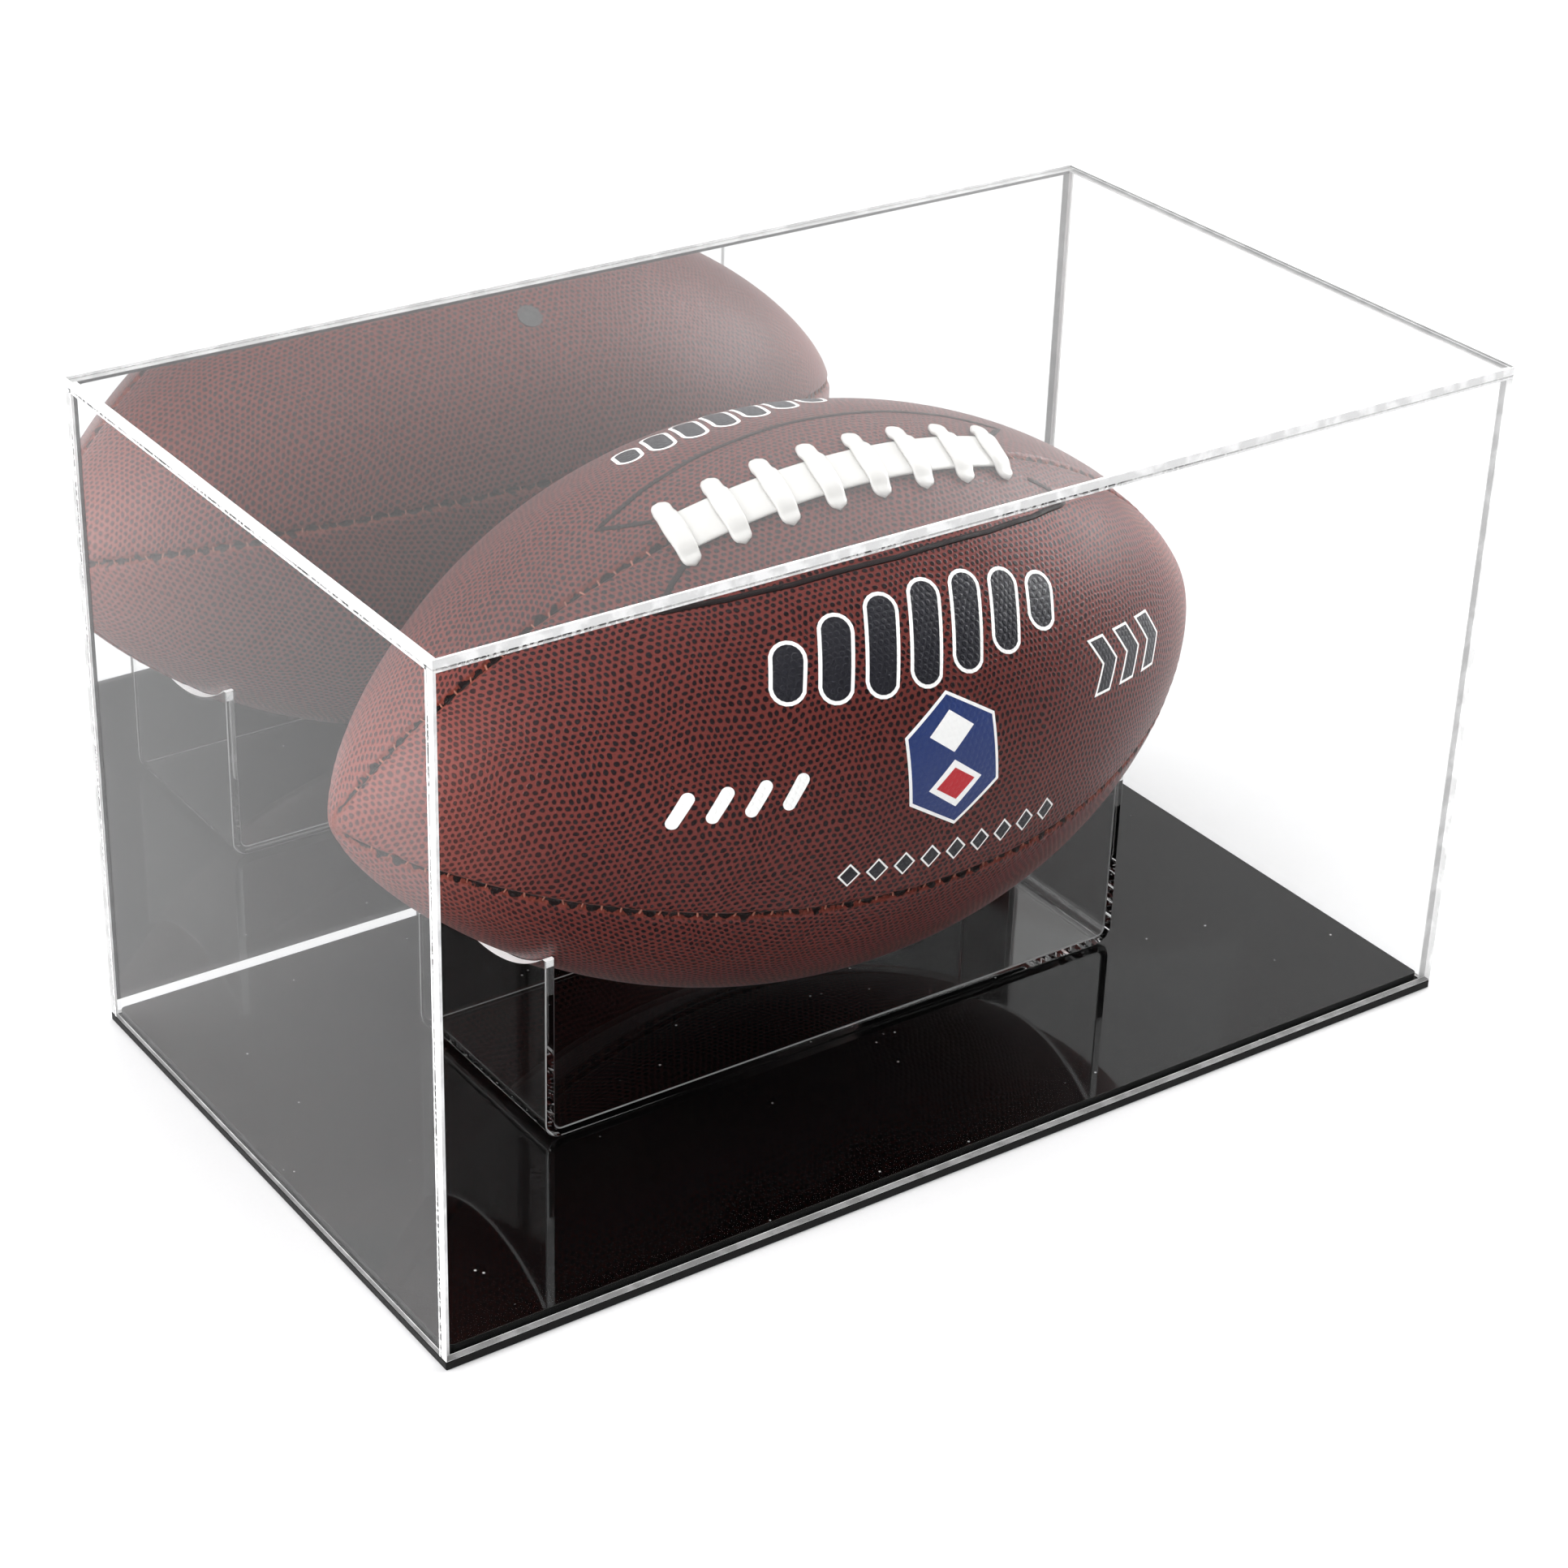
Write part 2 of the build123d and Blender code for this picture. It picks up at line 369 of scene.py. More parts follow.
def mirror_paint(name, shade):
    """Mottled grey on the mirror's back: the paint that guards the silver from behind, and the dark border
    where the silver stops short.
    """
    finish = Finish(name)
    mottle = finish.noise(40.0, 5)
    speckle = finish.noise(2500.0, 2)
    light = colour(shade * 1.15, shade * 1.18, shade * 1.25)
    finish.paint(mottle, colour(shade * 0.9, shade * 0.93, shade), light)
    finish.roughen(mottle, 0.38, 0.52)
    finish.bump(speckle, 0.04 * MM, 0.3)
    return finish.material


def cement(name, dark, light):
    """A line along a joint between two greys, broken up by small bubbles and paler towards the right: dark
    for the solvent cement, light for the bright line beside it.
    """
    finish = Finish(name)
    bubbles = finish.spread(finish.noise(900.0, 3), 0.47, 0.58)
    patches = finish.spread(finish.noise(45.0, 2), 0.4, 0.62, 0.0, 0.8)
    across = finish.node("SeparateXYZ", {0: finish.place}, "X")
    paler = finish.maths("MAXIMUM", finish.spread(across, 0.02, 0.09, 0.0, 0.93), patches)
    cover = finish.maths("MAXIMUM", bubbles, paler)
    finish.paint(cover, grey(dark), grey(light))
    finish.roughen(bubbles, 0.2, 0.4, 0.0, 1.0)
    finish.bump(bubbles, 0.05 * MM, 0.5)
    return finish.material


def black_acrylic():
    """Gloss black acrylic with wiping marks and a little settled dust."""
    finish = Finish("black_gloss_acrylic")
    wipe = finish.noise(26.0, 4)
    cells = finish.node("TexVoronoi", {"Vector": finish.place, "Scale": 260.0, "Randomness": 1.0}, "Distance")
    rare = finish.spread(finish.noise(70.0, 2), 0.62, 0.66)
    specks = finish.maths("MULTIPLY", finish.spread(cells, 0.12, 0.06), rare)
    finish.paint(specks, grey(0.001), grey(0.35))
    finish.roughen(wipe, 0.02, 0.06, 0.4, 0.8)
    finish.set("IOR", ACRYLIC_IOR)
    finish.bump(finish.noise(12.0, 2), 0.02 * MM, 0.2)
    return finish.material


def black_edge():
    """The sawn rim of a black sheet."""
    finish = Finish("black_sawn_edge")
    marks = finish.noise(1500.0, 4)
    finish.paint(marks, grey(0.002), grey(0.008))
    finish.roughen(marks, 0.3, 0.5)
    finish.set("Specular IOR Level", 0.12)
    finish.bump(marks, 0.04 * MM, 0.4)
    return finish.material


def pebbles(finish):
    """How much a point belongs to a raised dark pebble, from 0 to 1, with the hide's bump.

    The pebbles lie in two crossed sets of rows, which together make a net of six-sided cells that
    soft noise pulls out of line."""
    flat = finish.flat
    drift = finish.noise(38.0, 3, flat, "Color")
    centred = finish.node("VectorMath", {0: drift, 1: (0.5, 0.5, 0.5)}, operation="SUBTRACT")
    shifted = finish.node("VectorMath", {0: centred, 3: PEBBLE_DRIFT}, operation="SCALE")
    place = finish.node("VectorMath", {0: flat, 1: shifted}, operation="ADD")
    scaled = finish.node("VectorMath", {0: place, 3: 1 / PEBBLE_PITCH}, operation="SCALE")
    cell = (0.5, math.sqrt(3) / 2, 0.0)
    backwards = (-cell[0], -cell[1], 0.0)
    crossed = finish.node("VectorMath", {0: scaled, 1: cell}, operation="ADD")
    gaps = []
    for rows in (scaled, crossed):
        wrapped = finish.node("VectorMath", {0: rows, 1: cell, 2: backwards}, operation="WRAP")
        gaps.append(finish.node("VectorMath", {0: wrapped}, "Value", operation="LENGTH"))
    gap = finish.maths("MINIMUM", *gaps)
    uneven = finish.spread(finish.noise(420.0, 2, flat), 0.3, 0.7, -0.06, 0.06)
    dot = finish.spread(finish.maths("ADD", gap, uneven), 0.4, 0.24)
    grain = finish.noise(1500.0, 3, flat)
    crease = finish.bump(grain, 0.04 * MM, 0.4)
    finish.bump(dot, 0.16 * MM, 0.5, under=crease)
    return dot, grain


def leather():
    """Red-brown pebbled hide with near-black pebbles, with painted light: a redder painted highlight along
    the seams where the rolled edges catch the light, a paler painted sheen towards the tips, and painted
    shade in the openings between stitches.
    """
    finish = Finish("pebbled_leather")
    flat = finish.flat
    shade = {name: colour(*value) for name, value in HIDE_COLOURS.items()}
    dot, grain = pebbles(finish)
    patches = finish.noise(24.0, 4, flat)
    ground = finish.mix_colour(patches, shade["dark"], shade["light"])
    grained = finish.mix_colour(finish.spread(grain, 0.35, 0.7, 0.0, 0.4), ground, shade["crease"])
    along = finish.maths("ABSOLUTE", finish.node("SeparateXYZ", {0: flat}, "X"))
    # painted sheen: the hide and its pebbles grow paler towards the tips
    tip = finish.spread(along, SHEEN_PAINT_START, SHEEN_PAINT_END)
    painted_sheen = finish.mix_colour(finish.maths("MULTIPLY", tip, 0.6), grained, shade["painted_sheen"])
    dotted = finish.mix_colour(dot, painted_sheen, finish.mix_colour(tip, shade["pebble"], shade["painted_sheen_pebble"]))
    # painted highlight: redder along the seams, where the rolled edges catch the light
    seam = finish.node("Attribute", {}, "Fac", attribute_name="seam")
    painted_seam_highlight = finish.mix_colour(finish.spread(seam, 0.25, 0.75, 0.0, 0.7), dotted, shade["painted_seam_highlight"])
    # painted shade: near-black in the openings between stitches
    hole = finish.node("Attribute", {}, "Fac", attribute_name="hole")
    ragged = finish.spread(finish.noise(420.0, 3, flat), 0.36, 0.62, 0.3, 1.35)
    gap_shade_share = finish.spread(finish.maths("MULTIPLY", hole, ragged), 0.22, 0.42)
    finish.paint(gap_shade_share, painted_seam_highlight, shade["hole"])
    finish.roughen(grain, 0.34, 0.46)
    finish.set("Specular IOR Level", 0.12)
    finish.set("Sheen Weight", 0.06)
    finish.set("Sheen Roughness", 0.4)
    return finish.material


def ink(name, shade):
    """Ink printed on the hide, following its pebbles."""
    finish = Finish(name)
    dot, grain = pebbles(finish)
    worn = finish.spread(grain, 0.55, 0.8, 0.0, 0.3)
    darker = colour(shade[0] * 0.75, shade[1] * 0.75, shade[2] * 0.75)
    finish.paint(worn, colour(*shade), darker)
    finish.roughen(dot, 0.45, 0.36, 0.0, 1.0)
    finish.set("Specular IOR Level", 0.3)
    return finish.material


def lace_plastic():
    """Glossy white lace with a fine woven grain under its coating."""
    finish = Finish("lace_plastic")
    tint = finish.noise(120.0, 3)
    grain = finish.noise(2200.0, 2)
    finish.paint(tint, colour(0.52, 0.51, 0.49), colour(0.6, 0.595, 0.58))
    finish.roughen(tint, 0.28, 0.42)
    finish.set("Subsurface Weight", 0.15)
    finish.set("Subsurface Radius", (0.002, 0.0018, 0.0016))
    finish.bump(grain, 0.05 * MM, 0.35)
    return finish.material


def thread(name, light, dark):
    """Twisted sewing thread."""
    finish = Finish(name)
    twist = finish.node("TexWave", {"Vector": finish.place, "Scale": 900.0, "Distortion": 2.0}, "Fac")
    shade = finish.noise(400.0, 3)
    finish.paint(shade, colour(*dark), colour(*light))
    finish.roughen(shade, 0.45, 0.65)
    finish.set("Specular IOR Level", 0.12)
    finish.bump(twist, 0.06 * MM, 0.5)
    return finish.material


def rubber(name, dark, light):
    """Matt moulded rubber with a fine skin and a dusty bloom."""
    finish = Finish(name)
    bloom = finish.noise(45.0, 5)
    skin = finish.noise(3000.0, 3)
    finish.paint(bloom, colour(*dark), colour(*light))
    finish.roughen(bloom, 0.5, 0.7)
    finish.bump(skin, 0.05 * MM, 0.4)
    return finish.material


def cloth():
    """Plain-woven lining cloth."""
    finish = Finish("lining_cloth")
    warp = finish.node("TexWave", {"Vector": finish.place, "Scale": 190.0}, "Fac", bands_direction="X")
    weft = finish.node("TexWave", {"Vector": finish.place, "Scale": 190.0}, "Fac", bands_direction="Y")
    weave = finish.maths("MULTIPLY", warp, weft)
    fibre = finish.noise(1500.0, 3)
    finish.paint(fibre, colour(0.5, 0.46, 0.38), colour(0.66, 0.62, 0.53))
    finish.roughen(fibre, 0.75, 0.92)
    finish.bump(weave, 0.15 * MM, 0.7)
    return finish.material


def make_floor():
    """A large pale floor at the height of the case's underside."""
    mesh = bpy.data.meshes.new("floor")
    half = FLOOR_SIZE / 2
    corners = [(-half, -half, 0), (half, -half, 0), (half, half, 0), (-half, half, 0)]
    mesh.from_pydata(corners, [], [(0, 1, 2, 3)])
    floor = add_object("floor", mesh)
    finish = Finish("floor_paper")
    grain = finish.noise(900.0, 3)
    paper = finish.mix_colour(grain, colour(0.61, 0.61, 0.615), colour(0.63, 0.63, 0.635))
    reach = finish.node("VectorMath", {0: finish.place}, "Value", operation="LENGTH")
    away = finish.spread(reach, *FAR_FLOOR)
    finish.paint(away, paper, colour(0.99, 0.99, 0.99))
    finish.set("Roughness", 0.85)
    finish.set("Specular IOR Level", 0.1)
    mesh.materials.append(finish.material)


# ---- mesh helpers --------------------------------------------------------------------------
def add_piece(name, mesh, materials, body, stands_for=(), smooth=False):
    """Makes a mesh into a piece that rides on a body and stands for CAD nodes."""
    if isinstance(mesh, bmesh.types.BMesh):
        made = bpy.data.meshes.new(name)
        mesh.to_mesh(made)
        mesh.free()
        mesh = made
    for material in materials:
        mesh.materials.append(material)
    mesh.polygons.foreach_set("use_smooth", [smooth] * len(mesh.polygons))
    piece = add_object(name, mesh)
    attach(piece, body)
    if stands_for:
        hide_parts(*stands_for)
    return piece


def bevelled_block(low, high, bevel, corner=0.0):
    """A closed box between two corners, with softened edges and, seen from above, rounded corners."""
    form = bmesh.new()
    bmesh.ops.create_cube(form, size=1.0)
    size = high - low
    for vertex in form.verts:
        vertex.co = low + Vector([(vertex.co[axis] + 0.5) * size[axis] for axis in range(3)])
    if corner:
        upright = [edge for edge in form.edges if edge.verts[0].co.xy == edge.verts[1].co.xy]
        bmesh.ops.bevel(form, geom=upright, offset=corner, segments=6, profile=0.5, affect="EDGES")
    sharp = [edge for edge in form.edges if edge.calc_face_angle() > math.radians(40)]
    bmesh.ops.bevel(form, geom=sharp, offset=bevel, segments=2, profile=0.5, affect="EDGES")
    form.normal_update()
    return form


def sheet_slab(name, node, materials, body, corner=0.0, shaded_ways=()):
    """A flat sheet. Its broad faces take the first material and its rim the second, except that
    the third, a darker rim as painted shade, goes on the rims that face the ways given for shade."""
    low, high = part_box(node)
    inset = Vector((GLUE_GAP,) * 3)
    form = bevelled_block(low + inset, high - inset, SHEET_BEVEL, corner)
    size = high - low
    thin = min(range(3), key=lambda axis: size[axis])
    for face in form.faces:
        if abs(face.normal[thin]) < 0.999 and len(materials) > 1:
            shaded = any(face.normal.dot(way) > 0.5 for way in shaded_ways)
            face.material_index = 2 if shaded else 1
    return add_piece(name, form, materials, body, [node])


# ---- base and cover ------------------------------------------------------------------------
def build_base():
    materials = [black_acrylic(), black_edge()]
    for node, corner in (("base_lower_plate", 0.5 * MM), ("base_upper_plate", 1.5 * MM)):
        sheet_slab(node.replace("base_", "black_"), node, materials, "base", corner)


def build_cover():
    """Four clear panels, and the mirror panel with its silver on the outer side."""
    # The rims are painted light and shade: white where lit, a painted half shade on the right sheet, and a
    # painted shade on rims that face the listed ways.
    bright = painted_light_rim("acrylic_painted_light_rim", 0.76, 0.97)
    pale = painted_light_rim("acrylic_painted_half_shade_rim", 0.5, 0.6)
    shaded = painted_light_rim("acrylic_painted_shade_rim", 0.16, 0.24)
    down, rightward = Vector((0, 0, -1)), Vector((1, 0, 0))
    rims = {
        "left": ([bright, shaded], [down]),
        "right": ([pale, shaded], [down, -down]),
        "top": ([bright, shaded], [rightward]),
        "front": ([bright, shaded], [down]),
    }
    for side, (edges, ways) in rims.items():
        materials = [acrylic(f"clear_acrylic_{side}", SHEET_IORS[side])] + edges
        node = f"cover_{side}_panel"
        sheet_slab(f"clear_{side}_sheet", node, materials, "cover", shaded_ways=ways)
    clear = acrylic("clear_acrylic_mirror", ACRYLIC_IOR)
    # the mirror sheet's rim is painted a mid grey as shade
    build_mirror(clear, painted_light_rim("mirror_sheet_edge", 0.4, 0.5))
    build_cement()


def build_mirror(clear, edge):
    """The mirror panel: clear sheet, silvered on its outer side down to a clear strip at its foot."""
    node = "cover_mirror_back_panel"
    low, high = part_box(node)
    inset = Vector((GLUE_GAP,) * 3)
    silver_y = high.y - SILVER_FILM - 2 * GLUE_GAP
    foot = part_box("base_upper_plate")[1].z + SILVER_FOOT
    form = bevelled_block(low + inset, Vector((high.x - GLUE_GAP, silver_y, high.z - GLUE_GAP)), SHEET_BEVEL)
    silver_left, silver_top = low.x + SILVER_LEFT_MARGIN, high.z - SILVER_TOP_MARGIN
    cuts = [
        (Vector((silver_left, 0, 0)), Vector((1, 0, 0))),
        (Vector((0, 0, silver_top)), Vector((0, 0, 1))),
        (Vector((0, 0, foot)), Vector((0, 0, 1))),
    ]
    for place, normal in cuts:
        whole = form.verts[:] + form.edges[:] + form.faces[:]
        bmesh.ops.bisect_plane(form, geom=whole, plane_co=place, plane_no=normal)
    form.normal_update()
    for face in form.faces:
        middle = face.calc_center_median()
        if abs(face.normal.y) < 0.999:
            face.material_index = 1
        elif face.normal.y > 0 and middle.z > foot:
            bordered = middle.x < silver_left or middle.z > silver_top
            face.material_index = 3 if bordered else 2
    materials = [clear, edge, silvering(), mirror_paint("mirror_dark_border", 0.06)]
    add_piece("mirror_sheet", form, materials, "cover", [node])
    film_low = Vector((low.x + SHEET_BEVEL, silver_y + GLUE_GAP, foot))
    film_high = Vector((high.x - SHEET_BEVEL, high.y, high.z - SHEET_BEVEL))
    film = bevelled_block(film_low, film_high, GLUE_GAP)
    paint = mirror_paint("mirror_back_paint", 0.27)
    add_piece("mirror_back_film", film, [paint], "cover")


def build_cement():
    """What shows along the outer joints: a dark broken line of cement with a bright line beside it."""
    front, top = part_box("cover_front_panel"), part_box("cover_top_panel")
    half_x, half_y = top[1].x, top[1].y
    end_y = -front[1].y
    foot, joint = front[0].z, top[0].z
    lines = [
        ("cement_dark_lines", 0.0, CEMENT_WIDTH, cement("cement_dark", 0.02, 0.6)),
        ("joint_bright_lines", 1.3 * CEMENT_WIDTH, 3 * CEMENT_WIDTH, cement("joint_bright_line", 0.55, 0.9)),
    ]
    for name, near, far, material in lines:
        form = bmesh.new()
        for way in (-1, 1):
            skin = (half_x - CEMENT_DEPTH, half_x - GLUE_GAP / 3)
            edge_y = (end_y - far, end_y - near)
            add_box(form, way, skin, edge_y, (foot, joint))
            add_box(form, way, skin, (-edge_y[1], -edge_y[0]), (foot, joint))
            across = (-half_y + SHEET_BEVEL, half_y - SHEET_BEVEL)
            add_box(form, way, skin, across, (joint - far, joint - near))
            skin = (half_y - CEMENT_DEPTH, half_y - GLUE_GAP / 3)
            along = (-half_x + SHEET_BEVEL, half_x - SHEET_BEVEL)
            add_box(form, way, along, skin, (joint - far, joint - near), swap=True)
        add_piece(name, form, [material], "cover")


def add_box(form, way, xs, ys, zs, swap=False):
    """Adds a plain closed box to an open bmesh, turned to the other side where way is -1."""
    low = Vector((xs[0], ys[0], zs[0]))
    high = Vector((xs[1], ys[1], zs[1]))
    made = bmesh.ops.create_cube(form, size=1.0)["verts"]
    for vertex in made:
        place = [low[axis] + (vertex.co[axis] + 0.5) * (high[axis] - low[axis]) for axis in range(3)]
        place[1 if swap else 0] *= way
        vertex.co = Vector(place)
    faces = {face for vertex in made for face in vertex.link_faces}
    bmesh.ops.recalc_face_normals(form, faces=list(faces))


# ---- ball stand ----------------------------------------------------------------------------
def build_stand():
    """One strip bent into a U, with a round saddle cut into the top of each upright."""
    low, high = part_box("ball_stand")
    half_width = (high.y - low.y) / 2
    middle_y = (high.y + low.y) / 2
    saddle_half = half_width - HORN_FLAT
    outer = high.x
    inner = outer - STAND_SHEET
    saddle_radius = math.hypot(ball_centre.z - high.z, saddle_half)
    bend_centre = Vector((inner - STAND_INNER_BEND, low.z + STAND_SHEET + STAND_INNER_BEND))

    def half_path(radius):
        """The strip's bend at that radius, from the upright's foot to the floor's end."""
        turns = [math.pi / 2 * step / BEND_STEPS for step in range(BEND_STEPS + 1)]
        return [bend_centre + Vector((radius * math.cos(t), -radius * math.sin(t))) for t in turns]

    def top_of(y):
        across = min(abs(y), saddle_half)
        return ball_centre.z - math.sqrt(saddle_radius**2 - across**2)

    def section(y):
        """The closed outline of the strip at y, outer side first."""
        top = top_of(y)
        outer_right = [Vector((outer, top))] + half_path(STAND_INNER_BEND + STAND_SHEET)
        inner_right = [Vector((inner, top))] + half_path(STAND_INNER_BEND)
        outer_left = [Vector((-p.x, p.y)) for p in reversed(outer_right)]
        inner_left = [Vector((-p.x, p.y)) for p in reversed(inner_right)]
        return outer_right + outer_left, inner_right + inner_left

    turns = [math.pi * (column / STAND_COLUMNS - 0.5) for column in range(STAND_COLUMNS + 1)]
    ys = [-half_width] + [saddle_half * math.sin(turn) for turn in turns] + [half_width]
    form = bmesh.new()
    rows = []
    for y in ys:
        sides = section(y)
        rows.append([[form.verts.new((p.x, middle_y + y, p.y)) for p in side] for side in sides])
    count = len(rows[0][0])
    for near, far in zip(rows, rows[1:]):
        for step in range(count - 1):
            form.faces.new((near[0][step], near[0][step + 1], far[0][step + 1], far[0][step]))
            form.faces.new((near[1][step + 1], near[1][step], far[1][step], far[1][step + 1]))
        for end in (0, count - 1):
            rim = form.faces.new((near[0][end], far[0][end], far[1][end], near[1][end]))
            rim.material_index = 1
    rims = []
    for row in (rows[0], rows[-1]):
        for step in range(count - 1):
            form.faces.new((row[0][step], row[1][step], row[1][step + 1], row[0][step + 1]))
        for side in row:
            rims += [form.edges.get(pair) for pair in zip(side, side[1:])]
    bmesh.ops.recalc_face_normals(form, faces=form.faces[:])
    bmesh.ops.bevel(form, geom=rims, offset=STAND_BEVEL, segments=1, affect="EDGES", material=2)
    # the top rim is pale with a painted glow, and the bevelled corners are a dark grey as painted shade
    materials = [
        acrylic("clear_acrylic_stand", ACRYLIC_IOR),
        polished_edge("acrylic_polished_top_painted_glow", 0.85, PAINTED_RIM_GLOW),
        polished_edge("acrylic_polished_corner_painted_shade", 0.3, 0.0),
    ]
    add_piece("clear_ball_stand", form, materials, "base", ["ball_stand"])


def polished_edge(name, shade, glow):
    """The flame-polished rim of the stand, made opaque with its light painted in: a grey colour, and a
    painted glow of the given strength for light that gathers in the sheet.
    """
    finish = Finish(name)
    ripple = finish.noise(300.0, 3)
    finish.paint(ripple, grey(shade * 0.85), grey(shade))
    finish.roughen(ripple, 0.08, 0.2)
    finish.set("Emission Color", colour(1.0, 1.0, 1.0))
    finish.set("Emission Strength", glow)
    finish.bump(ripple, 0.08 * MM, 0.4)
    return finish.material


# ---- ball form -----------------------------------------------------------------------------
def radius_at(along, depth=0.0):
    """The ball's radius at a place along it, for the surface that lies depth under the leather's outside."""
    return (ball_radius - depth) * (1 - abs(along) ** POINT_POWER) ** POINT_SHARPNESS


def ball_point(along, angle, depth=0.0):
    """A point on the ball: along goes from -1 to 1 between the tips, and angle is in radians."""
    radius = radius_at(along, depth)
    x = (ball_half - depth) * along
    return Vector((x, -radius * math.sin(angle), radius * math.cos(angle))) + Vector((0, *ball_centre.yz))


def meridian():
    """Distances along the ball's outline from its left tip, and how far along each one is."""
    steps = MERIDIAN_STEPS
    alongs = [-math.cos(math.pi * step / steps) for step in range(steps + 1)]
    points = [ball_point(along, 0.0) for along in alongs]
    distances = [0.0]
    for before, after in zip(points, points[1:]):
        distances.append(distances[-1] + (after - before).length)
    return distances, alongs


meridian_distances, meridian_alongs = meridian()
meridian_length = meridian_distances[-1]


def look_up(value, steps, results):
    """The result for a value that lies between two of the rising steps."""
    index = min(max(bisect.bisect_left(steps, value), 1), len(steps) - 1)
    share = (value - steps[index - 1]) / (steps[index] - steps[index - 1])
    share = min(max(share, 0.0), 1.0)
    return results[index - 1] * (1 - share) + results[index] * share


def along_at(distance):
    """How far along the ball a distance from its middle is, from -1 to 1."""
    return look_up(distance + meridian_length / 2, meridian_distances, meridian_alongs)


def distance_at(along):
    """The distance from the ball's middle at a place along it: the opposite of along_at."""
    return look_up(along, meridian_alongs, meridian_distances) - meridian_length / 2


def outward(along, angle):
    """The ball's outward direction."""
    step = 1e-4
    here = min(max(along, -1 + 2 * step), 1 - 2 * step)
    forward = ball_point(here + step, angle) - ball_point(here - step, angle)
    sideways = Vector((0, -math.cos(angle), -math.sin(angle)))
    return sideways.cross(forward).normalized()


def on_ball(x, degrees, lift=0.0):
    """A point at x and an angle in degrees, lifted square off the leather."""
    along = x / ball_half
    angle = math.radians(degrees)
    return ball_point(along, angle) + outward(along, angle) * lift


# ---- leather panels ------------------------------------------------------------------------
def panel_shares():
    """Where a panel's columns lie from one seam to the other, closer together beside the seams."""
    width = ball_radius * math.pi / 2
    near = [millimetres * MM / width for millimetres in SEAM_COLUMNS]
    gap = 1 - 2 * near[-1]
    middle = [near[-1] + gap * step / OPEN_COLUMNS for step in range(1, OPEN_COLUMNS)]
    return near + middle + [1 - share for share in reversed(near)]


def seam_drop(place, gap, pull, calm):
    """How far the leather sinks at a distance from a seam. pull gives each stitch its own strength."""
    phase = place / STITCH_PITCH
    number = math.floor(phase + 0.5)
    tight = 0.5 + 0.5 * math.cos(2 * math.pi * phase)
    strength = pull[number % len(pull)]
    groove = GROOVE_DEPTH * math.exp(-((gap / GROOVE_REACH) ** 2)) * (0.9 + 0.1 * strength)
    pucker = PUCKER_DEPTH * strength * tight * math.exp(-((gap / PUCKER_REACH) ** 2))
    ridge = RIDGE_HEIGHT * (1 - 0.7 * tight) * math.exp(-(((gap - RIDGE_PLACE) / RIDGE_REACH) ** 2))
    return (groove + pucker - ridge) * calm


def seam_gape(place, gap, pull):
    """How much a point lies in the opening that the hide leaves between two stitches, which is painted dark
    as shade.
    """
    phase = place / STITCH_PITCH
    number = math.floor(phase)
    strength = pull[number % len(pull)]
    between = math.sin(math.pi * (phase - number)) ** 2
    reach = GAPE_AT_STITCH + GAPE_BETWEEN * between * strength
    return math.exp(-((gap / reach) ** 2))


def skin_panel(form, outer_rows, inner_rows, tips):
    """Joins a panel's rows of points into its outside, its inside, its two edges and its two tips."""
    last = len(outer_rows[0]) - 1
    for near, far in zip(outer_rows, outer_rows[1:]):
        for column in range(last):
            form.faces.new((near[column], near[column + 1], far[column + 1], far[column]))
    for near, far in zip(inner_rows, inner_rows[1:]):
        for column in range(last):
            form.faces.new((near[column + 1], near[column], far[column], far[column + 1]))
    pairs = list(zip(outer_rows, inner_rows))
    for (near_outer, near_inner), (far_outer, far_inner) in zip(pairs, pairs[1:]):
        for column in (0, last):
            form.faces.new((near_outer[column], far_outer[column], far_inner[column], near_inner[column]))
    for tip, (outer_row, inner_row) in zip(tips, (pairs[0], pairs[-1])):
        for column in range(last):
            form.faces.new((tip[0], outer_row[column + 1], outer_row[column]))
            form.faces.new((tip[1], inner_row[column], inner_row[column + 1]))
        for column in (0, last):
            form.faces.new((tip[0], outer_row[column], inner_row[column], tip[1]))
    bmesh.ops.recalc_face_normals(form, faces=form.faces[:])


